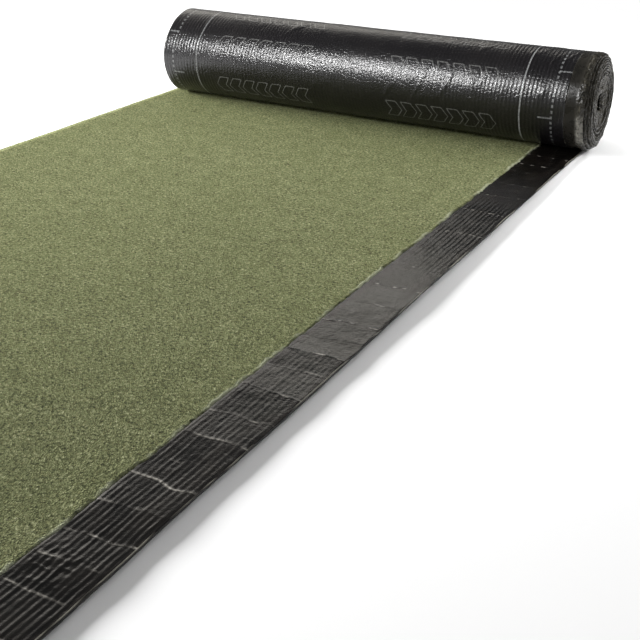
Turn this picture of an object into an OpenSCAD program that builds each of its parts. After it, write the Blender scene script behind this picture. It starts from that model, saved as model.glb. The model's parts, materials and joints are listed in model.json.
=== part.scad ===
// Roll of mineral-surfaced roofing felt, partly unrolled.
// One continuous sheet of felt lies flat on the floor, passes under the roll and is wound up in it,
// with its granules facing up and inwards and its film facing down and outwards.
// +X runs along the roll's axis towards the bare lap strip, +Y along the felt towards the roll.
// The origin is on the floor, in the middle of the whole outline.

/* [Felt] */
// Width of the felt from edge to edge
felt_width = 1000; // [500:10:1200]
// Thickness of the coated sheet without its granules
base_thickness = 3.2; // [2:0.1:5]
// Height of the granules above the coated sheet
granule_layer = 1; // [0.5:0.1:2]
// Width of the bare lap strip along the right-hand edge
lap_width = 85; // [50:5:150]

/* [Roll] */
// Radius of the bore that the winding mandrel leaves
bore_radius = 21; // [15:1:60]
// Turns that are still wound up
turn_count = 17; // [4:1:24]
// Slack between two turns where the granules touch the film
winding_gap = 0.3; // [0.1:0.1:0.8]
// How deep the gap between two turns is open at the ends of the roll
end_gap_depth = 8; // [3:1:20]
// How far the outermost turn has run to the right of the laid length
outer_drift = 22; // [0:1:40]
// How far the innermost turn has run to the right of the laid length
inner_drift = 28; // [0:1:40]
// How far a turn may stand out past the line of its neighbours
turn_stagger = 1.5; // [0:0.1:3]

/* [Laid length] */
// Length on the floor, from the cut end to below the roll's axis
laid_length = 1670; // [500:10:4000]

/* [Hidden] */
$fn = 180;

mineral_thickness = base_thickness + granule_layer;
turn_pitch = mineral_thickness + winding_gap;
roll_radius = bore_radius + turn_count * turn_pitch;
stagger_step = 137.5;

// Sideways place of turn i, counted from the bore outwards
function drift(i) = inner_drift + (outer_drift - inner_drift) * i / (turn_count - 1)
    + turn_stagger * sin(i * stagger_step);
drifts = [for (i = [0:turn_count - 1]) drift(i)];

// The outline's middle is the origin
outline_left = min(0, min(drifts));
outline_right = max(0, max(drifts));
laid_centre_x = -(outline_left + outline_right) / 2;
roll_axis_y = (laid_length + roll_radius) / 2 - roll_radius;
cut_end_y = roll_axis_y - laid_length;

// One end of the wound turns as [radius, place along the axis] points, from the bore outwards.
// side is 1 at the lap strip's end and -1 at the other, and thickness is the sheet's at that edge.
function turn_end(i, side) = laid_centre_x + drifts[i] + side * felt_width / 2;
function gap_floor(i, side) = side > 0
    ? min(turn_end(i - 1, side), turn_end(i, side)) - end_gap_depth
    : max(turn_end(i - 1, side), turn_end(i, side)) + end_gap_depth;
function end_outline(side, thickness) = [
    for (i = [0:turn_count - 1])
        let (
            inner = bore_radius + i * turn_pitch,
            outer = inner + turn_pitch,
            sheet_inner = outer - thickness
        )
        each i == 0
            ? [[inner, turn_end(i, side)], [outer, turn_end(i, side)]]
            : [
                [inner, gap_floor(i, side)],
                [sheet_inner, gap_floor(i, side)],
                [sheet_inner, turn_end(i, side)],
                [outer, turn_end(i, side)]
            ]
];

function reversed(list) = [for (i = [len(list) - 1:-1:0]) list[i]];

// All the wound turns: one turned solid with its bore
module wound_turns() {
    translate([0, roll_axis_y, roll_radius])
        rotate([0, 90, 0])
            rotate_extrude()
                polygon(concat(
                    end_outline(-1, mineral_thickness),
                    reversed(end_outline(1, base_thickness))
                ));
}

// The laid length: a flat sheet with a step down to the lap strip
module laid_sheet() {
    left = laid_centre_x - felt_width / 2;
    right = laid_centre_x + felt_width / 2;
    translate([0, roll_axis_y, 0])
        rotate([90, 0, 0])
            linear_extrude(laid_length)
                polygon([
                    [left, 0],
                    [right, 0],
                    [right, base_thickness],
                    [right - lap_width, base_thickness],
                    [right - lap_width, mineral_thickness],
                    [left, mineral_thickness]
                ]);
}

module roofing_felt() {
    color("darkolivegreen") laid_sheet();
    color("#1c1c1c") wound_turns();
}

roofing_felt();
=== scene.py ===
import bpy
import json
import math
import numpy as np
from mathutils import Matrix, Vector


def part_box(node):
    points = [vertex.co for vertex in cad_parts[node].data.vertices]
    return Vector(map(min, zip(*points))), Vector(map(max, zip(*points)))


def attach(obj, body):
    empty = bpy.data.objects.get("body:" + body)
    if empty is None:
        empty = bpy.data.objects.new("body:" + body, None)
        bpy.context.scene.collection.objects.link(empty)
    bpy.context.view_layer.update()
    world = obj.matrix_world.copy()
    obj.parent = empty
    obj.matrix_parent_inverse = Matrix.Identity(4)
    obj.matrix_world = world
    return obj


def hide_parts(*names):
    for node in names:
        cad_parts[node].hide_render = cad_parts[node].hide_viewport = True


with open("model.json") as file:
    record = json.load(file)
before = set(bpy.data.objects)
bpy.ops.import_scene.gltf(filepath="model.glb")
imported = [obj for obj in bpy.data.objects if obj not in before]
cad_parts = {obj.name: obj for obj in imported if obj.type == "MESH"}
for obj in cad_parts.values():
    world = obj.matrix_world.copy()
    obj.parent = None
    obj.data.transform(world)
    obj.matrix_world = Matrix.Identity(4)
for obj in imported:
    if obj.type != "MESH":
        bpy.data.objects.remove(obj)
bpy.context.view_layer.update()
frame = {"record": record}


# ---- Laid length ------------------------------------------------------------------------------------
# The felt is one web: a bitumen sheet with green slate granules rolled into its upper face and a thin
# film melted on below. The granules stop short of the right-hand edge, which is kept bare for the next
# sheet's lap. This much of it lies unrolled on the floor, with the slow waves that winding left in it.

felt_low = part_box("roofing_felt")[0]
bore = next(m for m in frame["record"]["mounts"] if m["name"] == "bore")
axis_y, axis_z = bore["pos_m"][1], bore["pos_m"][2]

felt_width = 1.0
sheet_thickness = 0.0032
granule_layer = 0.001
lap_width = 0.085
felt_centre_x = felt_low.x + felt_width / 2
cut_end_y = felt_low.y
laid_length = axis_y - cut_end_y


def wander(across, along, size, seed):
    """Smooth unevenness from -1 to 1 over a surface, with bumps about size metres apart."""
    cells = 128
    table = np.random.default_rng(seed).uniform(-1, 1, (cells, cells))
    a, b = np.asarray(across) / size + 41.3, np.asarray(along) / size + 17.9
    a, b = np.broadcast_arrays(a, b)
    i, j = np.floor(a).astype(int), np.floor(b).astype(int)
    s, t = a - i, b - j
    s, t = s * s * (3 - 2 * s), t * t * (3 - 2 * t)
    i0, j0, i1, j1 = i % cells, j % cells, (i + 1) % cells, (j + 1) % cells
    near = table[i0, j0] * (1 - s) + table[i1, j0] * s
    far = table[i0, j1] * (1 - s) + table[i1, j1] * s
    return near * (1 - t) + far * t


def ease(value, start, end):
    """0 before start, 1 after end and smooth between them."""
    t = np.clip((np.asarray(value, float) - start) / (end - start), 0, 1)
    return t * t * (3 - 2 * t)


def rounded_edge(start, end, outward, swell, steps=4):
    """Points from one face's edge to the other's, swelling outward as a pressed or cut edge does."""
    share = ((np.arange(steps) + 0.6) / (steps + 0.2))[None, :, None]
    bulge = np.sqrt(np.clip(1 - (2 * share - 1) ** 2, 0, 1))
    return start[:, None, :] * (1 - share) + end[:, None, :] * share + bulge * swell[:, None, None] * outward


def felt_piece(name, fine, right_wall, coarse, left_wall, fine_across, coarse_across, along,
               finishes, zones, flip):
    """A closed stretch of felt. Each row across it is one loop: its fine face from left to right, the
    right-hand edge, its coarse face from right to left, and the left-hand edge. zones gives the finish
    of those four; for a face it may be a list, one finish for each step across it."""
    loops = np.concatenate([fine, right_wall, coarse, left_wall], axis=1)
    rows, count, _ = loops.shape
    n_fine, n_right, n_coarse, n_left = (part.shape[1] for part in (fine, right_wall, coarse, left_wall))
    base = np.arange(rows - 1)[:, None] * count
    here = np.arange(count)[None, :]
    onward = (here + 1) % count
    quads = np.stack([base + here, base + onward, base + count + onward, base + count + here], axis=2)
    faces = [tuple(q) for q in quads.reshape(-1, 4).tolist()]
    steps = (n_fine - 1, n_right + 1, n_coarse - 1, n_left + 1)
    loop_zone = [z for zone, n in zip(zones, steps) for z in (zone if isinstance(zone, list) else [zone] * n)]
    face_zone = loop_zone * (rows - 1)

    # Both cut ends close with strips from the fine face across to the coarse one.
    stops = np.round(np.linspace(0, n_fine - 1, n_coarse)).astype(int).tolist()
    for start, turned in ((0, True), ((rows - 1) * count, False)):
        for k in range(n_coarse - 1):
            ring = list(range(stops[k], stops[k + 1] + 1))
            if k == n_coarse - 2:
                ring += list(range(n_fine, n_fine + n_right))
            lower_right = n_fine + n_right + (n_coarse - 2 - k)
            ring += [lower_right, lower_right + 1]
            if k == 0:
                ring += list(range(n_fine + n_right + n_coarse, count))
            faces.append(tuple(start + v for v in (ring[::-1] if turned else ring)))
            face_zone.append(zones[3])
    if flip:
        faces = [f[::-1] for f in faces]

    # Each step round an edge counts as this much further across, so the finishes carry on over it.
    edge_step = 0.0008
    across = np.concatenate([fine_across, fine_across[-1] + edge_step * np.arange(1, n_right + 1),
                             coarse_across, fine_across[0] - edge_step * np.arange(n_left, 0, -1)])
    place = np.stack(np.meshgrid(across, along, indexing="xy"), axis=2).reshape(-1, 2)
    mesh = bpy.data.meshes.new(name)
    mesh.from_pydata(loops.reshape(-1, 3).tolist(), [], faces)
    mesh.update()
    for finish in finishes:
        mesh.materials.append(finish)
    mesh.polygons.foreach_set("material_index", np.array(face_zone, np.int32))
    mesh.polygons.foreach_set("use_smooth", np.ones(len(faces), bool))
    corner = np.zeros(len(mesh.loops), np.int32)
    mesh.loops.foreach_get("vertex_index", corner)
    felt_map = mesh.uv_layers.new(name="felt")
    felt_map.data.foreach_set("uv", place[corner].astype(np.float32).ravel())
    piece = bpy.data.objects.new(name, mesh)
    bpy.context.scene.collection.objects.link(piece)
    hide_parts("roofing_felt")
    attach(piece, "root")
    return piece


class Wire:
    """A number, colour or vector inside a material. Arithmetic on it adds the Math nodes it needs."""

    def __init__(self, recipe, socket):
        self.recipe, self.socket = recipe, socket

    def math(self, operation, *others):
        return self.recipe.node("ShaderNodeMath", {"operation": operation}, dict(enumerate((self, *others))))

    def reflected(self, operation, other):
        return self.recipe.node("ShaderNodeMath", {"operation": operation}, {0: other, 1: self})

    def __add__(self, other):
        return self.math("ADD", other)

    def __radd__(self, other):
        return self.reflected("ADD", other)

    def __sub__(self, other):
        return self.math("SUBTRACT", other)

    def __rsub__(self, other):
        return self.reflected("SUBTRACT", other)

    def __mul__(self, other):
        return self.math("MULTIPLY", other)

    def __rmul__(self, other):
        return self.reflected("MULTIPLY", other)

    def __mod__(self, other):
        return self.math("FLOORED_MODULO", other)

    def __lt__(self, other):
        return self.math("LESS_THAN", other)

    def __gt__(self, other):
        return self.math("GREATER_THAN", other)

    def __abs__(self):
        return self.math("ABSOLUTE")

    def fade(self, start, end):
        """0 at start and 1 at end, smooth between them; start may be the larger."""
        return self.recipe.node("ShaderNodeMapRange", {"interpolation_type": "SMOOTHSTEP"},
                                {0: self, 1: start, 2: end, 3: 0.0, 4: 1.0})


class Recipe:
    """A material for the felt, laid out on the flat sheet: across and along are metres on it."""

    def __init__(self, name):
        self.material = bpy.data.materials.new(name)
        self.material.use_nodes = True
        self.tree = self.material.node_tree
        self.tree.nodes.clear()
        self.place = self.node("ShaderNodeUVMap", {"uv_map": "felt"}, {})
        self.across = self.node("ShaderNodeSeparateXYZ", {}, {0: self.place}, 0)
        self.along = self.node("ShaderNodeSeparateXYZ", {}, {0: self.place}, 1)

    def node(self, kind, settings, sockets, out=0):
        """Adds one node: its settings first, then the values or wires of its sockets. Gives back the wire
        of its output with this number, if it has any."""
        made = self.tree.nodes.new(kind)
        for key, value in settings.items():
            if key == "stops":
                ramp = made.color_ramp
                while len(ramp.elements) < len(value):
                    ramp.elements.new(1.0)
                for stop, (position, colour) in zip(ramp.elements, value):
                    stop.position, stop.color = position, (*colour, 1.0)
            else:
                setattr(made, key, value)
        for key, value in sockets.items():
            if isinstance(value, Wire):
                self.tree.links.new(value.socket, made.inputs[key])
            elif isinstance(value, tuple) and made.inputs[key].type == "RGBA":
                made.inputs[key].default_value = (*value, 1.0)
            else:
                made.inputs[key].default_value = value
        return Wire(self, made.outputs[out]) if len(made.outputs) else made

    def spread(self, across, along):
        """The place on the felt with its two directions scaled, for a texture to run over."""
        return self.node("ShaderNodeVectorMath", {"operation": "MULTIPLY"},
                         {0: self.place, 1: (across, along, 0.0)})

    def bent(self, where, size, reach):
        """A place pushed about by up to reach metres in swirls of this size, so that lines wander."""
        swirl = self.node("ShaderNodeTexNoise", {},
                          {"Vector": self.place, "Scale": 1 / size, "Detail": 2.0}, 1)
        return self.node("ShaderNodeVectorMath", {"operation": "MULTIPLY_ADD"},
                         {0: swirl, 1: (reach, reach, 0.0), 2: where})

    def noise(self, where, scale, detail=2.0, rough=0.5):
        """Soft random values around 0.5."""
        return self.node("ShaderNodeTexNoise", {}, {
            "Vector": where, "Scale": scale, "Detail": detail, "Roughness": rough})

    def folds(self, where, scale, width):
        """0 along a net of fold lines, rising to 1 between them."""
        return self.node("ShaderNodeTexVoronoi", {"feature": "DISTANCE_TO_EDGE"},
                         {"Vector": where, "Scale": scale, "Randomness": 1.0}, 0).fade(0.0, width)

    def blend(self, share, first, second):
        """A colour share of the way from the first to the second."""
        return self.node("ShaderNodeMix", {"data_type": "RGBA"}, {0: share, 6: first, 7: second}, 2)

    def finish(self, colour, roughness, bumps, **fixed):
        """The surface itself. bumps are (height, metres) pairs, and fixed holds the shader's own values.
        A coat takes the same bumps, but an export bakes them for the base only."""
        normal = None
        for height, metres in bumps:
            sockets = {"Height": height, "Distance": metres, "Strength": 1.0}
            if normal is not None:
                sockets["Normal"] = normal
            normal = self.node("ShaderNodeBump", {}, sockets)
        sockets = {"Base Color": colour, "Roughness": roughness}
        sockets.update((name.replace("_", " "), value) for name, value in fixed.items())
        if normal is not None:
            sockets["Normal"] = normal
            if "Coat_Weight" in fixed:
                sockets["Coat Normal"] = normal
        surface = self.node("ShaderNodeBsdfPrincipled", {}, sockets)
        self.node("ShaderNodeOutputMaterial", {}, {0: surface})
        return self.material


# Slate granules: chips a millimetre or two across, dyed olive green, bedded in dark bitumen.
granules = Recipe("green_granules")
chip_place, chips_per_metre = granules.spread(1.0, 1.0), 520.0
chip_tone = granules.node("ShaderNodeTexVoronoi", {"feature": "F1"},
                          {"Vector": chip_place, "Scale": chips_per_metre, "Randomness": 1.0}, 1)
chip_red = granules.node("ShaderNodeSeparateColor", {}, {0: chip_tone}, 0)
chip_green = granules.node("ShaderNodeSeparateColor", {}, {0: chip_tone}, 1)
chip_height = granules.node("ShaderNodeTexVoronoi", {"feature": "SMOOTH_F1"},
                            {"Vector": chip_place, "Scale": chips_per_metre, "Smoothness": 0.25,
                             "Randomness": 1.0}, 0)
clump = granules.noise(chip_place, 215.0, 3.0, 0.75)
drift_tone = granules.noise(chip_place, 34.0, 3.0, 0.6)
patch = granules.noise(chip_place, 6.0, 3.0, 0.55)
chip_colour = granules.node("ShaderNodeValToRGB", {"stops": [
    (0.0, (0.017, 0.018, 0.009)), (0.20, (0.054, 0.060, 0.026)), (0.42, (0.112, 0.123, 0.055)),
    (0.62, (0.170, 0.184, 0.087)), (0.85, (0.260, 0.274, 0.143)), (1.0, (0.40, 0.405, 0.250))]},
    {0: chip_red * 0.48 + (clump - 0.5) * 1.95 + (drift_tone - 0.5) * 0.38 + 0.27})
chip_warm = granules.blend(chip_green.fade(0.7, 1.0) * 0.5, chip_colour, (0.172, 0.165, 0.074))
chip_patch = granules.blend((patch - 0.35) * 0.40, chip_warm, (0.096, 0.114, 0.040))
# A pale fringe is painted along the granules' edge against the lap, in patches.
pale_fringe = (granules.across.fade(0.4085, 0.4135) * (granules.across < 0.42)
            * granules.noise(granules.spread(0.2, 1.0), 15.0, 3.0, 0.6).fade(0.42, 0.56))
chip_patch = granules.blend(pale_fringe * 0.8, chip_patch, (0.42, 0.44, 0.31))
# Painted shade: the chips' colour is scaled from 0.78 seen head on up to full at a low angle. This darkens
# the laid felt towards the near end, as shade between the chips and weaker light there would. So their
# colour follows the viewing angle, and a baked colour keeps only the darker head-on tone.
painted_shade_by_view = granules.node("ShaderNodeLayerWeight", {}, {"Blend": 0.5}, 1).fade(0.44, 0.72)
chip_colour_with_painted_shade = granules.blend(painted_shade_by_view * 0.22 + 0.78, (0.0, 0.0, 0.0), chip_patch)
green_granules = granules.finish(
    chip_colour_with_painted_shade, 0.9, [(clump, 0.0011), (chip_height, 0.0012)], Specular_IOR_Level=0.2)

# Torch-on film on the underside, which is also the outside of the roll. It is thin, black and glossy,
# finely embossed, and printed in grey with guide lines for the laps and plain chevrons. A margin
# along the right-hand edge has none, and its bitumen is browner.
film = Recipe("burn_off_film")
print_repeat, chevron_step, dot_pitch = 0.187, 0.035, 0.0113
from_left, from_right = film.across + 0.5, 0.5 - film.across


def band(place, centre, reach):
    """1 within this reach of the centre, and 0 beyond it."""
    return abs(place - centre) < reach


# One unbroken line and one dotted line near each edge, and two short cross ticks to each repeat.
line_mark = band(from_left, 0.0918, 0.0016) + band(from_right, 0.1275, 0.0016)
dots = band(film.along % dot_pitch, dot_pitch / 2, 0.0030)
dot_mark = (band(from_left, 0.0262, 0.0021) + band(from_right, 0.0622, 0.0021)) * dots
tick_step = (film.along + 0.013 * film.across) % print_repeat
tick_mark = (
    band(tick_step, 0.0085, 0.0016) * (band(from_left, 0.0150, 0.0115) + band(from_right, 0.0500, 0.0130))
    + band(tick_step, 0.1020, 0.0016) * (band(from_left, 0.0400, 0.0135) + band(from_right, 0.0760, 0.0135)))


def chevrons(centre, lead):
    """Printed rows of seven outlined chevrons across the film, two rows to each repeat of the print."""
    rise = abs((film.along + 0.01425) % (print_repeat / 2) - print_repeat / 4)
    place = (film.across - centre) * lead + rise * 0.62 - 0.006
    from_centre = abs((place + chevron_step / 2) % chevron_step - chevron_step / 2)
    beyond = (from_centre - 0.0118).math("SMOOTH_MAX", rise - 0.0200, 0.005)
    return (abs(beyond) < 0.00115) * (abs(place) < 3.5 * chevron_step) * (rise < 0.023)


chevron_mark = chevrons(-0.235, -1.0) + chevrons(0.200, 1.0)
worn = film.noise(film.spread(1.0, 1.0), 420.0, 3.0, 0.65).fade(0.30, 0.55)
cloud = film.noise(film.spread(1.0, 0.6), 7.0, 3.0, 0.55)
blotch = film.noise(film.spread(1.0, 1.0), 48.0, 3.0, 0.6)
pebble = film.noise(film.spread(1.0, 1.15), 235.0, 2.0, 0.6)
crinkle = film.folds(film.bent(film.spread(0.85, 1.25), 0.016, 0.006), 300.0, 0.34)
long_fold = film.folds(film.bent(film.spread(0.42, 1.5), 0.03, 0.012), 40.0, 0.05)
middle = abs(film.across + 0.03).fade(0.40, 0.20)
fine_rib = film.node("ShaderNodeTexWave",
                     {"wave_type": "BANDS", "bands_direction": "X", "wave_profile": "SIN"},
                     {"Vector": film.spread(1.0, 0.03), "Scale": 38.0, "Distortion": 1.2, "Detail": 2.0,
                      "Detail Scale": 2.0}, 1)
bare_margin = (film.across + (blotch - 0.5) * 0.003).fade(0.4620, 0.4634)
film_colour = film.blend(cloud.fade(0.4, 0.75), (0.0034, 0.0029, 0.0037), (0.0057, 0.0048, 0.0053))
film_colour = film.blend(pebble.fade(0.48, 0.70) * 0.6, film_colour, (0.0125, 0.0106, 0.0122))
film_colour = film.blend(bare_margin, film_colour, (0.014, 0.013, 0.0105))
guide_marks = (line_mark + (dot_mark + tick_mark) * 0.75).math("MINIMUM", 1.0)
film_colour = film.blend(guide_marks * worn * 0.9, film_colour, (0.20, 0.205, 0.205))
film_colour = film.blend(chevron_mark * worn * 0.6, film_colour, (0.17, 0.17, 0.165))
film_gloss = 0.30 + cloud * 0.10 + blotch * 0.12
burn_off_film = film.finish(
    film_colour, film_gloss,
    [(crinkle * (middle * 0.8 + 0.2) * (1 - bare_margin * 0.7), 0.00009), (long_fold, 0.00010),
     (fine_rib * (1 - middle * 0.5), 0.00008), (pebble, 0.00074)],
    IOR=1.5, Specular_IOR_Level=0.22, Coat_Weight=0.85, Coat_Roughness=0.16)

# Cut edge: the bitumen coating and its fibre core show as a dull brown-black line.
cut = Recipe("bitumen_edge")
cut_grain = cut.noise(cut.spread(1.0, 1.0), 900.0, 3.0, 0.6)
cut_smear = cut.noise(cut.spread(1.0, 1.0), 60.0, 2.0, 0.5)
bitumen_edge = cut.finish(
    cut.blend(cut_smear.fade(0.35, 0.7), (0.012, 0.011, 0.010), (0.040, 0.035, 0.029)),
    0.45 + cut_grain * 0.25, [(cut_grain, 0.0006)], IOR=1.5)

# Rows run across the felt every 3 mm along it. The granules' edge against the lap is ragged.
row_y = np.linspace(cut_end_y, axis_y, 560)
granule_cols = np.concatenate([np.linspace(-0.5, 0.39, 60), np.linspace(0.395, 0.5 - lap_width, 8)])
bare_cols = np.linspace(0.5 - lap_width + 0.001, 0.5, 10)
top_cols = np.concatenate([granule_cols, bare_cols])
under_cols = np.linspace(0.5, -0.5, 12)


def lie(across, y):
    """How far the laid felt stands off the floor: slack waves, and a lift towards its cut end."""
    from_roll = axis_y - y
    calm = ease(from_roll, 0.02, 0.35)
    wave = 0.0011 * (1 + wander(across * 0.6, y, 0.33, 5)) + 0.0006 * (1 + wander(across, y, 0.14, 6))
    side = ease(np.abs(across), 0.28, 0.5) * (1.3 + wander(across * 0.2, y, 0.21, 7)) * 0.0011
    curl = 0.004 * ease(from_roll, laid_length - 0.14, laid_length) ** 2
    return calm * (wave + side) + curl


def trim(across, y):
    """How far the trimmed edges stray sideways from dead straight."""
    left = 0.0009 * wander(0 * y, y, 0.16, 21) + 0.0004 * wander(0 * y, y, 0.03, 22)
    right = 0.0011 * wander(0 * y, y, 0.19, 31) + 0.0004 * wander(0 * y, y, 0.03, 32)
    stray = left * ease(-across, 0.1, 0.5) + right * ease(across, 0.41, 0.5)
    return stray * ease(axis_y - y, 0.0, 0.04)


# Y is a place along the frame's y axis, and U is metres across the felt from its middle.
Y, U = np.meshgrid(row_y, top_cols, indexing="ij")
ragged = 0.0005 + 0.0024 * wander(0 * Y, Y, 0.021, 11) + 0.0022 * wander(0 * Y, Y, 0.0068, 12)
ragged = ragged * ease(U, 0.39, 0.413) * (1 - ease(U, 0.42, 0.44)) * ease(axis_y - Y, 0.0, 0.04)
on_granules = U < 0.5 - lap_width + 0.0005
chips_rise = 0.00025 * wander(U, Y, 0.009, 51) * ease(axis_y - Y, 0.0, 0.04)
granule_height = sheet_thickness + granule_layer + chips_rise
top = np.stack([felt_centre_x + U + ragged + trim(U, Y), Y,
                lie(U, Y) + np.where(on_granules, granule_height, sheet_thickness - 0.0004)], axis=2)
Y, U = np.meshgrid(row_y, under_cols, indexing="ij")
under = np.stack([felt_centre_x + U + trim(U, Y), Y, lie(U, Y)], axis=2)

rightward = np.array([1.0, 0.0, 0.0])
calm_y = ease(axis_y - row_y, 0.0, 0.02)
right_wall = rounded_edge(top[:, -1], under[:, 0], rightward,
                          (0.0006 + 0.0004 * wander(0 * row_y, row_y, 0.012, 61)) * calm_y)
left_wall = rounded_edge(under[:, -1], top[:, 0], -rightward,
                         (0.0005 + 0.0004 * wander(0 * row_y, row_y, 0.007, 62)) * calm_y)
laid = felt_piece("felt_laid_length", top, right_wall, under, left_wall, top_cols, under_cols, row_y - axis_y,
                  [green_granules, bitumen_edge, burn_off_film],
                  [[0] * len(granule_cols) + [1] * (len(bare_cols) - 1), 1, 2, 1], flip=False)


# ---- Lap strip film -----------------------------------------------------------------------------------
# A black film about a third of a millimetre thick is stuck down over the bare lap strip. It has the
# felt's fine ribs along it, cross creases from unrolling, and a loose outer edge in places. Its colour
# paints pale lines on the creases and along that edge, partly the film whitening and partly painted
# glints and edge highlights.

lap = Recipe("lap_strip_film")
lap_grain = lap.noise(lap.spread(1.0, 0.8), 250.0, 3.0, 0.7)
lap_mottle = lap.noise(lap.spread(1.0, 0.5), 30.0, 3.0, 0.6)
lap_long = lap.noise(lap.spread(0.25, 1.0), 11.0, 2.0, 0.5)
lap_fine = lap.folds(lap.bent(lap.spread(0.16, 1.0), 0.03, 0.010), 46.0, 0.05)
# A pale line along the outer edge in stretches, partly the film's whitish edge and partly a painted edge
# highlight.
outer_edge_pale_and_highlight = (lap.across > 0.4993) * lap_long.fade(0.45, 0.54)
lap_colour = lap.blend(lap_mottle.fade(0.35, 0.7), (0.0022, 0.0019, 0.0017), (0.0075, 0.0062, 0.0050))
lap_colour = lap.blend(outer_edge_pale_and_highlight * 0.7, lap_colour, (0.30, 0.285, 0.235))
whitened_and_glint = lap.node("ShaderNodeAttribute", {"attribute_type": "GEOMETRY", "attribute_name": "crease"}, {}, 2)
# Pale crease lines, partly whitened film and partly painted glints.
lap_colour = lap.blend(whitened_and_glint * lap_grain.fade(0.30, 0.55), lap_colour, (0.34, 0.32, 0.285))
lap_film = lap.finish(
    lap_colour, 0.15 + lap_mottle * 0.16,
    [(lap_fine, 0.00005), (lap_mottle, 0.0009), (lap_grain, 0.00030)], IOR=1.5)

# Creases cross the strip at these distances in front of the roll's axis, and the film between them is
# lifted unevenly. Those past a metre were worked harder, so they run further across, and their pale
# lines, partly whitened film and partly painted glints, are stronger.
crease_at = np.array([0.0, 0.10, 0.165, 0.215, 0.29, 0.36, 0.45, 0.56, 0.645, 0.72, 0.80, 0.86, 0.93,
                      0.99, 1.022, 1.072, 1.13, 1.193, 1.246, 1.298, 1.337, 1.385, 1.435, 1.476,
                      1.521, 1.576, 1.68])
highest_lift, highest_crease = 0.0014, 0.00030
crease_lift = np.random.default_rng(88).uniform(0, 1, len(crease_at)) * highest_lift
crease_lift[0] = 0.0
crease_rise = np.random.default_rng(89).uniform(0.3, 1.0, len(crease_at)) * highest_crease
strip_start, strip_middle, strip_end = 0.4150, 0.4575, 0.5008
strip_y = np.linspace(cut_end_y + 0.001, axis_y - 0.012, 1240)
strip_cols = np.linspace(strip_start, strip_end, 68)
Y, U = np.meshgrid(strip_y, strip_cols, indexing="ij")
skew = 0.10 * wander(0 * U, Y, 0.09, 101) * (U - strip_middle)
ahead = axis_y - Y + skew + 0.0035 * wander(U, Y, 0.024, 102)
panel = np.interp(ahead, crease_at, crease_lift)
ridge, crease = np.zeros_like(U), np.zeros_like(U)
for k, (at, rise) in enumerate(zip(crease_at[1:-1], crease_rise[1:-1])):
    partial = ease(wander(U, 0 * U + at * 7.0, 0.03, 110 + k), -0.75, -0.1)
    ridge += rise * partial * np.exp(-((ahead - at) / 0.0017) ** 2)
    worked = 1.0 if at > 1.0 else 0.0
    # Each crease's pale line, partly whitening and partly a painted glint, shows in broken stretches.
    broken = wander(U, 0 * U + at * 11.0, 0.007 + 0.005 * worked, 140 + k)
    whitening_and_glint = (0.75 + 0.65 * worked) * ease(broken, -0.1 - 0.2 * worked, 0.6) * rise / highest_crease
    crease += whitening_and_glint * partial * np.exp(-((ahead - at - 0.0006) / 0.0011) ** 2)

# Ribs run along the strip. They stand up in some stretches and are nearly flat in others.
rib_height, lap_rib_pitch = 0.00034, 0.0076
rib_share = np.interp(axis_y - Y + 0.02 * wander(U, Y, 0.03, 121),
                      [0, 0.38, 0.44, 0.60, 0.68, 0.74, 0.98, 1.05, 1.25, 1.40, 1.70],
                      [0.16, 0.20, 1.25, 1.15, 0.65, 0.15, 0.10, 0.45, 0.68, 1.0, 1.1])
rib_bend = 0.0008 * wander(U, Y, 0.11, 103) + 0.0007 * wander(U, Y, 0.025, 104)
ribs_past = (U + rib_bend) / lap_rib_pitch
rib_wave = 0.8 * np.cos(2 * math.pi * ribs_past) + 0.22 * np.cos(math.pi * ribs_past)
each_rib = np.floor(ribs_past + 0.5) * lap_rib_pitch
ribs = rib_height * rib_share * (0.62 + 0.38 * wander(each_rib * 9.0, Y, 0.028, 105)) * rib_wave

# Small puckers all over, one crumpled spot, and an outer edge that lies loose in places.
pucker = 0.00016 * wander(U, Y, 0.019, 106) + 0.00007 * wander(U, Y, 0.0075, 107)
from_spot = ((U - 0.44) / 0.034) ** 2 + ((axis_y - Y - 1.487) / 0.032) ** 2
crumple = (0.5 - np.abs(wander(U, Y, 0.008, 108))) * np.exp(-from_spot ** 2) * 0.0011
sides = (0.35 + 0.65 * ease(U, strip_start, 0.4200)) * (1 - 0.45 * ease(U, 0.4970, strip_end))
lift_edge = 0.0006 * ease(wander(0 * U, Y, 0.06, 109), 0.1, 0.9) * ease(U, 0.492, strip_end)
relief = (ribs + ridge + pucker + crumple) * (0.25 + 0.75 * sides)
film_z = sheet_thickness + 0.0001 + relief + panel * sides + lift_edge
stray = 0.0012 * wander(0 * U, Y, 0.045, 120) * ease(U, 0.485, strip_end)
film_top = np.stack([felt_centre_x + U + trim(U, Y) + stray, Y,
                     lie(np.minimum(U, 0.5), Y) + np.maximum(film_z, sheet_thickness - 0.0002)], axis=2)

# Below, the film follows its two edges, and its middle line is sunk out of sight in the felt.
film_thickness = 0.0003
strip_ends = np.array([strip_end, strip_middle, strip_start])
pick = [len(strip_cols) - 1, len(strip_cols) // 2, 0]
film_under = film_top[:, pick, :].copy()
film_under[:, :, 2] -= np.array([film_thickness, 0.0, film_thickness])
film_under[:, 1, 2] = lie(np.full(len(strip_y), strip_middle), strip_y) + sheet_thickness / 2
edge_swell = np.full(len(strip_y), film_thickness / 2)
film_right = rounded_edge(film_top[:, -1], film_under[:, 0], rightward, edge_swell, 1)
film_left = rounded_edge(film_under[:, -1], film_top[:, 0], -rightward, edge_swell, 1)
lap_piece = felt_piece("lap_strip_film", film_top, film_right, film_under, film_left, strip_cols, strip_ends,
                       strip_y - axis_y, [lap_film], [0, 0, 0, 0], flip=False)

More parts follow.
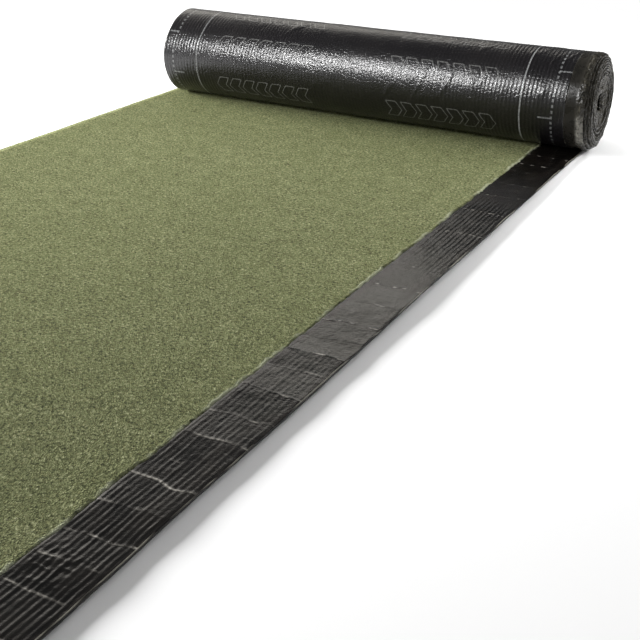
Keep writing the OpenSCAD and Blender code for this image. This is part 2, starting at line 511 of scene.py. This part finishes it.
# The film's material paints the creases paler by this share, partly whitened film and partly painted
# glints; it is 0 round the edges and below.
crease_glint_values = np.zeros((len(strip_y), len(strip_cols) + 5), np.float32)
crease_glint_values[:, :len(strip_cols)] = np.clip(crease, 0, 1)
lap_piece.data.attributes.new("crease", "FLOAT", "POINT").data.foreach_set("value", crease_glint_values.ravel())


# ---- Outer turn ---------------------------------------------------------------------------------------
# The same felt runs on below the roll, up its back, over the top and down its front, film side out.
# It has run a little to the right of the laid length, and its film is drawn into fine ribs round the
# roll, creased and crinkled between them.

roll_radius = axis_z
turns = 17
inner_film_radius = bore["dims"]["r_mm"] / 1000 + 0.0003 + sheet_thickness + granule_layer
turn_pitch = (roll_radius - inner_film_radius) / turns

# Where the felt's two edges lie after so many turns from below the axis, metres from the felt's centre.
left_edge = np.array([
    (0, -0.5), (0.12, -0.480), (0.25, -0.466), (0.5, -0.457), (0.6, -0.4585), (0.7, -0.4675), (0.9, -0.4685),
    (1.0, -0.469), (1.5, -0.463), (2.0, -0.470), (3.0, -0.466), (4.5, -0.471), (6.0, -0.465), (8.0, -0.469),
    (11.0, -0.464), (14.0, -0.468), (17.0, -0.465)])
right_edge = np.array([
    (0, 0.5), (0.12, 0.508), (0.25, 0.511), (0.5, 0.5135), (0.65, 0.512), (0.75, 0.5125), (0.9, 0.511),
    (1.0, 0.5125), (1.25, 0.515), (1.5, 0.516), (1.75, 0.5185), (2.0, 0.519), (2.5, 0.5185), (2.75, 0.5235),
    (3.0, 0.523), (3.5, 0.520), (3.75, 0.526), (4.5, 0.521), (4.75, 0.527), (5.5, 0.522), (5.75, 0.526),
    (6.5, 0.521), (7.0, 0.524), (8.0, 0.521), (9.0, 0.524), (10.0, 0.520), (11.0, 0.522), (12.0, 0.519),
    (14.0, 0.519), (17.0, 0.518)])


def film_radius(turn):
    """Distance of the film side from the roll's axis, after this many turns from below the axis."""
    return roll_radius - turn_pitch * turn


def wound_length(turn):
    """Felt wound up after this many turns."""
    return 2 * math.pi * (roll_radius * turn - turn_pitch * turn ** 2 / 2)


def edge_place(table, turn):
    """An edge's sideways place, with the corners of its table smoothed out."""
    fine_turns = np.linspace(0, turns, 200 * turns + 1)
    raw = np.interp(fine_turns, table[:, 0], table[:, 1])
    window = np.hanning(33)
    smooth = np.convolve(np.pad(raw, len(window) // 2, mode="edge"), window / window.sum(), mode="valid")
    blend_in = ease(fine_turns, 0, 0.12)
    return np.interp(turn, fine_turns, raw * (1 - blend_in) + smooth * blend_in)


def wound(across, turn, depth, stray=0.0):
    """A point of the wound felt: across it, this many turns in, and depth metres inside the film side."""
    angle = 2 * math.pi * turn
    radius = film_radius(turn) - depth
    left, right = edge_place(left_edge, turn), edge_place(right_edge, turn)
    x = felt_centre_x + left + (across + 0.5) * (right - left) + stray
    x, y, z = np.broadcast_arrays(x, axis_y + radius * np.sin(angle), axis_z - radius * np.cos(angle))
    return np.stack([x, y, z], axis=-1)


def ragged_side(turn, across):
    """Sideways waviness of the wound felt's edges."""
    s = wound_length(turn)
    slack = ease(turn, 5.5, 11.0)
    slow = (0.0010 + 0.0014 * slack) * wander(0 * s, s, 0.055, 81)
    quick = (0.0006 + 0.0011 * slack) * wander(0 * s, s, 0.018, 82)
    return (slow + quick) * ease(np.abs(across), 0.2, 0.5) * ease(turn, 0, 0.05)


# T is turns wound on, U is metres across the felt from its middle, and S is metres along it.
margin_start, film_rib_pitch = 0.4628, 0.0081
outer_rows = np.linspace(0, 1, 109)
film_cols = np.linspace(-0.5, margin_start, 730)
inside_cols = np.linspace(margin_start, -0.5, 12)
T, U = np.meshgrid(outer_rows, film_cols, indexing="ij")
S = wound_length(T)
calm = ease(T, 0, 0.03) * (1 - ease(T, 0.97, 1.0))

# Fine ribs run round the roll, strongest near its ends, over slow swells and a few slanting folds.
end_ribs = 0.35 + 0.65 * ease(np.abs(U + 0.03), 0.13, 0.30)
rib_bend = 0.0016 * wander(U, S, 0.09, 71) + 0.0006 * wander(U, S, 0.035, 72)
rib_rise = 0.35 + 0.65 * ease(wander(U, S * 0.7, 0.045, 73), -0.6, 0.5)
ribs = 0.00021 * rib_rise * end_ribs * np.sin(2 * math.pi * (U + rib_bend) / film_rib_pitch)
swells = (0.0005 * wander(U, S, 0.11, 74) + 0.00026 * wander(U, S, 0.028, 75)
          + 0.00009 * wander(U, S, 0.011, 80))
slant = U * 0.82 + S * 0.57
folds = 0.0008 * np.exp(-((wander(slant, U * 0.25 - S * 0.3, 0.028, 76) - 0.62) / 0.10) ** 2)
folds = folds * ease(wander(U, S, 0.12, 77) + 1.2 * ease(U, 0.25, 0.42), 0.05, 0.7)
outward = (ribs + swells + folds) * calm
film_face = wound(U, T, -outward, ragged_side(T, U))
T, U = np.meshgrid(outer_rows, inside_cols, indexing="ij")
inside_depth = np.where(U > 0.5 - lap_width, sheet_thickness, sheet_thickness + granule_layer)
inside_face = wound(U, T, inside_depth, ragged_side(T, U))
row_s = wound_length(outer_rows)
outer_right = rounded_edge(film_face[:, -1], inside_face[:, 0], rightward, np.full(len(row_s), 0.0001))
outer_left = rounded_edge(inside_face[:, -1], film_face[:, 0], -rightward,
                          0.0009 + 0.0005 * wander(0 * row_s, row_s, 0.012, 84))
outer = felt_piece("felt_outer_turn", film_face, outer_right, inside_face, outer_left, film_cols, inside_cols,
                   row_s, [burn_off_film, bitumen_edge, green_granules, lap_film],
                   [0, 1, [3] + [2] * 10, 1], flip=True)


# ---- Outer turn's margin ------------------------------------------------------------------------------
# Right of the film is the back of the lap strip: smooth brown bitumen, then a crumpled edge where the
# lap strip's film has been folded round it and has gone pale.

wrap = Recipe("edge_film")
wrap_cloud = wrap.noise(wrap.spread(1.0, 1.0), 42.0, 3.0, 0.6)
wrap_fine = wrap.noise(wrap.spread(1.0, 1.0), 330.0, 3.0, 0.65)
wrap_fold = wrap.folds(wrap.bent(wrap.spread(1.0, 0.7), 0.012, 0.010), 110.0, 0.28)
wrap_crack = wrap.noise(wrap.spread(1.2, 1.0), 120.0, 3.0, 0.7)
crumpled = wrap.across.fade(0.484, 0.492)
paleness = abs(wrap.along - 0.497).fade(0.048, 0.022) * crumpled * wrap_crack.fade(0.30, 0.55)
wrap_colour = wrap.blend(wrap_cloud.fade(0.35, 0.68), (0.0106, 0.0098, 0.0081), (0.0185, 0.0170, 0.0138))
wrap_colour = wrap.blend(wrap_cloud.fade(0.30, 0.72) * crumpled, wrap_colour, (0.030, 0.0275, 0.0212))
wrap_colour = wrap.blend(wrap_crack.fade(0.48, 0.70) * crumpled * 0.45, wrap_colour, (0.078, 0.070, 0.052))
wrap_colour = wrap.blend(paleness * 0.55, wrap_colour, (0.30, 0.29, 0.255))
edge_film = wrap.finish(wrap_colour, 0.20 + wrap_cloud * 0.16,
                        [(wrap_fold * (crumpled * 0.9 + 0.1), 0.0009), (wrap_fine, 0.00022)],
                        IOR=1.5, Specular_IOR_Level=0.22)

margin_rows = np.linspace(0, 1, 420)
margin_cols = np.concatenate([np.linspace(margin_start, 0.486, 12), np.linspace(0.4872, 0.5, 14)])
margin_inside = np.linspace(0.5, margin_start, 3)
T, U = np.meshgrid(margin_rows, margin_cols, indexing="ij")
S = wound_length(T)
calm = ease(T, 0, 0.03) * (1 - ease(T, 0.97, 1.0))
loose = ease(U, 0.483, 0.493)
wrinkle = (0.0009 * wander(U * 0.5, S, 0.014, 78) + 0.0005 * wander(U, S, 0.0065, 79)
           + 0.0003 * wander(U, S, 0.0035, 85))
swells = 0.0005 * wander(U, S, 0.11, 74) + 0.00018 * wander(U, S, 0.028, 75)
fold_line = 0.0005 * ease(U, 0.4835, 0.4855) * (1 - ease(U, 0.4865, 0.489))
turned_down = 0.0013 * ease(U, 0.490, 0.5) ** 2
outward = (swells + loose * (wrinkle + 0.0004) - turned_down + fold_line) * calm
outward = outward - 0.00012 * ease(U, 0.4660, margin_start)
crumple = 0.0008 * wander(0 * S, S, 0.009, 86) + 0.0004 * wander(0 * S, S, 0.004, 87)
margin_face = wound(U, T, -outward, ragged_side(T, U) + loose * crumple * calm)
T, U = np.meshgrid(margin_rows, margin_inside, indexing="ij")
margin_back = wound(U, T, sheet_thickness, ragged_side(T, U))
margin_s = wound_length(margin_rows)
margin_right = rounded_edge(margin_face[:, -1], margin_back[:, 0], rightward,
                            0.0011 + 0.0007 * wander(0 * margin_s, margin_s, 0.011, 83)
                            + 0.0003 * wander(0 * margin_s, margin_s, 0.004, 88), 6)
margin_left = rounded_edge(margin_back[:, -1], margin_face[:, 0], -rightward,
                           np.full(len(margin_s), 0.00005), 1)
margin = felt_piece("felt_outer_margin", margin_face, margin_right, margin_back, margin_left, margin_cols,
                    margin_inside, margin_s, [edge_film, lap_film], [0, 0, 1, 0], flip=True)


# ---- Inner turns --------------------------------------------------------------------------------------
# The rest of the felt, wound on in one spiral down to the bore that the winding mandrel left. Its
# turns stand out unevenly at both ends, and their edges are soft, squeezed and wrapped in loose film.

inner_s = np.arange(wound_length(1.0), wound_length(turns), 0.0021)
dense_turns = np.linspace(0, turns, 400 * turns + 1)
inner_turn = np.interp(inner_s, wound_length(dense_turns), dense_turns)
inner_turn[0] = 1.0
spiral_cols = np.array([-0.5, -0.4985, -0.49, 0.0, 0.4143, 0.4157, 0.465, 0.487, 0.4935, 0.4975, 0.5])
back_cols = np.array([0.5, 0.49, 0.4157, 0.4143, -0.49, -0.5])
T, U = np.meshgrid(inner_turn, spiral_cols, indexing="ij")
S = wound_length(T)


def loosened(turn, across):
    """0 where the felt is drawn tight and 1 at its right edge, from just after the outer turn on."""
    return ease(across, 0.44, 0.5) * ease(turn, 1.0, 1.03)


def squeeze(turn, across):
    """How far a turn's end is pushed out or in from a true spiral, towards the felt's right edge."""
    s = wound_length(turn)
    pushed = 0.00045 * wander(0 * s, s, 0.043, 93) + 0.00020 * wander(0 * s, s, 0.016, 94)
    return loosened(turn, across) * pushed


crumple_side = 0.0007 * wander(0 * S, S, 0.009, 95) + 0.0005 * wander(0 * S, S, 0.0045, 96)
crumple_side = loosened(T, U) * crumple_side
wrinkle = loosened(T, U) * (0.00020 * wander(U, S, 0.008, 97) + 0.00012 * wander(U, S, 0.004, 98))
film_side = wound(U, T, 0.00010 - squeeze(T, U) - wrinkle, ragged_side(T, U) + crumple_side)
T, U = np.meshgrid(inner_turn, back_cols, indexing="ij")
depth = np.where(U > 0.5 - lap_width, sheet_thickness, sheet_thickness + granule_layer - 0.0001)
granule_side = wound(U, T, depth - squeeze(T, U), ragged_side(T, U))
inner_right = rounded_edge(film_side[:, -1], granule_side[:, 0], rightward,
                           0.0008 + 0.0006 * wander(0 * inner_s, inner_s, 0.012, 99)
                           + 0.0004 * wander(0 * inner_s, inner_s, 0.005, 100), 6)
inner_left = rounded_edge(granule_side[:, -1], film_side[:, 0], -rightward,
                          0.0009 + 0.0006 * wander(0 * inner_s, inner_s, 0.010, 130), 3)
inner = felt_piece("felt_inner_turns", film_side, inner_right, granule_side, inner_left, spiral_cols,
                   back_cols, inner_s, [burn_off_film, edge_film, green_granules, bitumen_edge],
                   [[0] * 6 + [1] * 4, 1, [1, 1, 2, 2, 2], 3], flip=True)


# ---- Loose film on the right end ----------------------------------------------------------------------
# The film edges of the innermost turns have come loose and bunched into a crumpled collar. It lies
# against the ends of those turns, torn at one place, and turns in a little way round the bore's mouth.

# A is the angle round the bore, K runs from 0 at the collar's rim to 1 at its mouth, and R is metres
# from the roll's axis.
collar_angle = np.linspace(0.35, 0.30 + 2 * math.pi, 320)
collar_share = np.linspace(0, 1, 44)
rim_radius, mouth_radius, middle_radius = 0.0500, 0.0165, 0.040
A, K = np.meshgrid(collar_angle, collar_share, indexing="ij")
round_a, round_b = middle_radius * np.cos(A), middle_radius * np.sin(A)
outer_reach = (rim_radius + 0.0080 * wander(round_a, round_b, 0.019, 201)
               + 0.0035 * wander(round_a, round_b, 0.007, 202))
inner_reach = (mouth_radius + 0.0030 * wander(round_a, round_b, 0.014, 203)
               + 0.0018 * wander(round_a, round_b, 0.005, 204))
R = outer_reach + (inner_reach - outer_reach) * K
A = A + 0.16 * wander(R, 3 * A, 0.35, 205)
collar_y, collar_z = R * np.sin(A), -R * np.cos(A)
collar_turn = (roll_radius - R) / turn_pitch
deep_folds = (np.abs(wander(collar_y, collar_z, 0.0105, 206))
              + 0.55 * np.abs(wander(collar_y, collar_z, 0.0052, 207)))
fine_folds = 0.6 * wander(collar_y, collar_z, 0.0030, 208)
turned_in = ease(R, 0.0250, 0.0120)
turns_below = 0.00045 * np.cos(2 * math.pi * (collar_turn - A / (2 * math.pi)))
proud = 0.0012 + 0.0030 * (0.75 - deep_folds) + 0.00035 * fine_folds + turns_below
proud = proud * ease(K, 0.0, 0.12) - 0.0085 * turned_in ** 1.5
collar_x = felt_centre_x + edge_place(right_edge, np.minimum(collar_turn, turns)) + proud
collar_face = np.stack([collar_x, axis_y + collar_y, axis_z + collar_z], axis=2)
collar_pick = [len(collar_share) - 1, 33, 22, 11, 0]
collar_back = collar_face[:, collar_pick] - np.array([0.0004, 0, 0])
collar_back[:, 1:4, 0] -= 0.0035
thin = np.full(len(collar_angle), 0.0001)
collar_mouth = rounded_edge(collar_face[:, -1], collar_back[:, 0], rightward, thin, 1)
collar_rim = rounded_edge(collar_back[:, -1], collar_face[:, 0], rightward, thin, 1)
collar_across = 0.492 + 0.034 * collar_share
collar = felt_piece("end_film_collar", collar_face, collar_mouth, collar_back, collar_rim,
                    collar_across, collar_across[collar_pick], 1.0 + 0.035 * collar_angle,
                    [edge_film], [0, 0, 0, 0], flip=True)


# ---- Floor, light and camera --------------------------------------------------------------------------
# A white floor that fades out into a white room, with weak even light from all round. A long softbox and
# a smaller, brighter one slant up in front and show only as reflections. A broad one hangs behind, and
# the main light stands low on the left.

# The floor's map is metres from its own middle, which lies under the felt.
floor = Recipe("white_floor")
from_middle = floor.node("ShaderNodeVectorMath", {"operation": "LENGTH"}, {0: floor.place}, 1)
fades_from, faded_by, floor_reach = 1.25, 2.5, 16.0
white_floor = floor.finish((0.93, 0.93, 0.93), 0.9, [], Alpha=from_middle.fade(faded_by, fades_from),
                           Specular_IOR_Level=0.0)
floor_corners = floor_reach * np.array([(-1, -1), (1, -1), (1, 1), (-1, 1)])
floor_mesh = bpy.data.meshes.new("floor")
floor_mesh.from_pydata([(x, y, 0.0) for x, y in floor_corners.tolist()], [], [(0, 1, 2, 3)])
floor_map = floor_mesh.uv_layers.new(name="felt")
floor_map.data.foreach_set("uv", floor_corners.ravel())
floor_mesh.materials.append(white_floor)
floor_piece = bpy.data.objects.new("floor", floor_mesh)
floor_piece.location = (felt_centre_x, axis_y - 0.8, -0.0004)
bpy.context.scene.collection.objects.link(floor_piece)

sky = bpy.data.worlds.new("studio")
bpy.context.scene.world = sky
sky.use_nodes = True
sky.node_tree.nodes.clear()


def room(strength):
    """A white room this bright."""
    light = sky.node_tree.nodes.new("ShaderNodeBackground")
    light.inputs["Color"].default_value = (1, 1, 1, 1)
    light.inputs["Strength"].default_value = strength
    return light.outputs[0]


def chosen(ray, otherwise, for_ray):
    """The second light for rays of this kind, and the first for all others."""
    pick = sky.node_tree.nodes.new("ShaderNodeMixShader")
    sky.node_tree.links.new(rays.outputs[ray], pick.inputs[0])
    sky.node_tree.links.new(otherwise, pick.inputs[1])
    sky.node_tree.links.new(for_ray, pick.inputs[2])
    return pick.outputs[0]


# The room lights the felt and shows in its gloss only weakly, and it is plain white to look at.
rays = sky.node_tree.nodes.new("ShaderNodeLightPath")
room_light = chosen("Is Camera Ray", chosen("Is Glossy Ray", room(0.20), room(0.12)), room(1.0))
sky_out = sky.node_tree.nodes.new("ShaderNodeOutputWorld")
sky.node_tree.links.new(room_light, sky_out.inputs[0])


def softbox(name, centre, aim, long_way, size, radiance, colour=(1, 1, 1)):
    """A rectangular light at centre, facing aim, its length along long_way, this bright to look at."""
    lamp = bpy.data.lights.new(name, "AREA")
    lamp.shape = "RECTANGLE"
    lamp.size, lamp.size_y = size
    lamp.energy = radiance * math.pi * size[0] * size[1]
    lamp.color = colour
    away = (Vector(centre) - Vector(aim)).normalized()
    lengthwise = (Vector(long_way) - away * Vector(long_way).dot(away)).normalized()
    upward = away.cross(lengthwise)
    holder = bpy.data.objects.new(name, lamp)
    turned = Matrix((lengthwise, upward, away)).transposed().to_4x4()
    holder.matrix_world = Matrix.Translation(centre) @ turned
    holder.visible_camera = False
    bpy.context.scene.collection.objects.link(holder)
    return holder


def by_roll(right, back, up):
    """A place this far right of the felt's middle, behind the roll's axis and above the floor."""
    return felt_centre_x + right, axis_y + back, up


roll_front, up_slant = by_roll(0.05, -0.09, 0.12), (1.85, -0.1, 1.23)
sideways, lengthways = (1, 0, 0), (0, 1, 0)
strip = softbox("front_strip", by_roll(-1.02, -2.54, 1.62), roll_front, up_slant, (1.70, 0.40), 24.0)
core = softbox("front_core", by_roll(-1.45, -2.53, 1.45), roll_front, up_slant, (0.62, 0.32), 92.0)
strip.visible_diffuse = core.visible_diffuse = False
softbox("back_box", by_roll(-2.9, 2.2, 1.60), by_roll(-0.6, -0.8, 0.0), sideways, (4.6, 0.75), 2.15,
        (1.0, 0.955, 0.87))
softbox("left_panel", by_roll(-2.9, 0.9, 1.75), by_roll(0.4, -1.2, 0.0), (1, 1.4, 0), (1.6, 1.3), 0.9,
        (1.0, 0.955, 0.88))
key = softbox("left_key", by_roll(-4.0, -0.9, 0.94), by_roll(0.2, -0.9, 0.0), lengthways, (2.6, 0.9), 116.0)
softbox("right_box", by_roll(1.9, 1.3, 1.1), by_roll(0.7, 0.0, 0.0), lengthways, (1.0, 0.8), 9.0)
overhead = softbox("overhead", by_roll(0.1, -0.1, 1.4), by_roll(0.1, -0.3, 0.0), sideways, (0.9, 0.9), 1.6)
right_fill = softbox("right_fill", by_roll(1.05, 0.15, 0.50), by_roll(0.62, 0.02, 0.0), lengthways,
                     (0.34, 0.34), 11.5)

# These three light matt surfaces only, and don't show as reflections in the film.
key.visible_glossy = overhead.visible_glossy = right_fill.visible_glossy = False

camera = bpy.data.objects.new("camera", bpy.data.cameras.new("camera"))
camera.data.sensor_width, camera.data.lens = 36.0, 57.9
heading, pitch, tilt = math.radians(29.13), math.radians(90 - 26.55), math.radians(0.14)
camera.matrix_world = (Matrix.Translation(by_roll(1.0112, -2.0062, 0.6167))
                       @ Matrix.Rotation(heading, 4, "Z") @ Matrix.Rotation(pitch, 4, "X")
                       @ Matrix.Rotation(tilt, 4, "Z"))
bpy.context.scene.collection.objects.link(camera)
bpy.context.scene.camera = camera
bpy.context.scene.view_settings.view_transform = "Standard"
